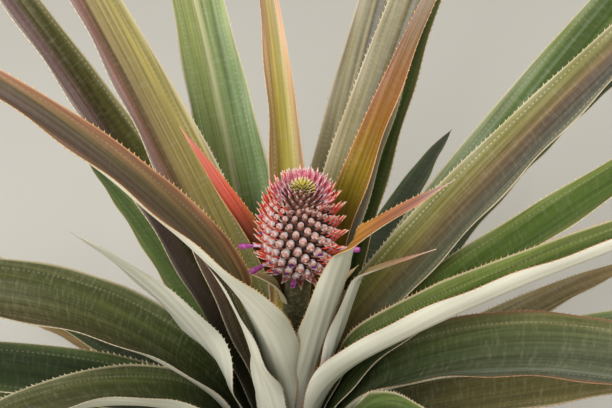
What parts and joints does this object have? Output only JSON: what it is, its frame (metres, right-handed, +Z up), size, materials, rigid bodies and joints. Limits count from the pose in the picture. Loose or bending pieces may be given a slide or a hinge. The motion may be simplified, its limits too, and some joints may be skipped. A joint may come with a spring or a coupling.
{
  "type": "pineapple plant",
  "caption": "Young pineapple plant rooted in the ground: a rosette of long spiny trough-shaped leaves round a short stem, with a small pink fruit in flower on a stalk.",
  "frame": {"origin": "middle of the flat cut under the stem, at ground level", "axes": "+Z up along the stem, +X to the right of the pictured view, +Y away from the pictured camera"},
  "size_m": [1.1592, 1.1746, 0.8302],
  "materials": {
    "stem": "dull fibrous plant stem with leaf scars",
    "stalk": "satin green-brown flower stalk with pale scurf",
    "leaf": "satin succulent leaf, olive with purple-brown bands above and grey-white scales below",
    "inner_leaf": "satin young leaf, orange and red towards its foot",
    "old_leaf": "dull ageing leaf, drying to brown at its tip",
    "stalk_leaf": "satin coral-red stalk leaf with orange spined margins",
    "fruit": "dusty pink fruitlets with coral bracts and violet flowers"
  },
  "bodies": {
    "root": {"stem": "stem", "flower_stalk": "stalk", "leaf_01": "inner_leaf", "leaf_02": "inner_leaf", "leaf_03": "inner_leaf", "leaf_04": "leaf", "leaf_05": "leaf", "leaf_06": "leaf", "leaf_07": "leaf", "leaf_08": "leaf", "leaf_09": "leaf", "leaf_10": "leaf", "leaf_11": "leaf", "leaf_12": "leaf", "leaf_13": "leaf", "leaf_14": "leaf", "leaf_15": "leaf", "leaf_16": "leaf", "leaf_17": "leaf", "leaf_18": "leaf", "leaf_19": "leaf", "leaf_20": "leaf", "leaf_21": "leaf", "leaf_22": "leaf", "leaf_23": "leaf", "leaf_24": "leaf", "leaf_25": "leaf", "leaf_26": "leaf", "leaf_27": "leaf", "leaf_28": "leaf", "leaf_29": "leaf", "leaf_30": "leaf", "leaf_31": "leaf", "leaf_32": "leaf", "leaf_33": "leaf", "leaf_34": "leaf", "leaf_35": "leaf", "leaf_36": "leaf", "leaf_37": "old_leaf", "leaf_38": "old_leaf", "leaf_39": "old_leaf", "leaf_40": "old_leaf", "leaf_41": "old_leaf", "leaf_42": "old_leaf", "leaf_43": "old_leaf", "leaf_44": "old_leaf", "leaf_45": "old_leaf", "leaf_46": "old_leaf", "stalk_leaf_1": "stalk_leaf", "stalk_leaf_2": "stalk_leaf", "stalk_leaf_3": "stalk_leaf", "stalk_leaf_4": "stalk_leaf", "fruit": "fruit"}
  },
  "joints": []
}
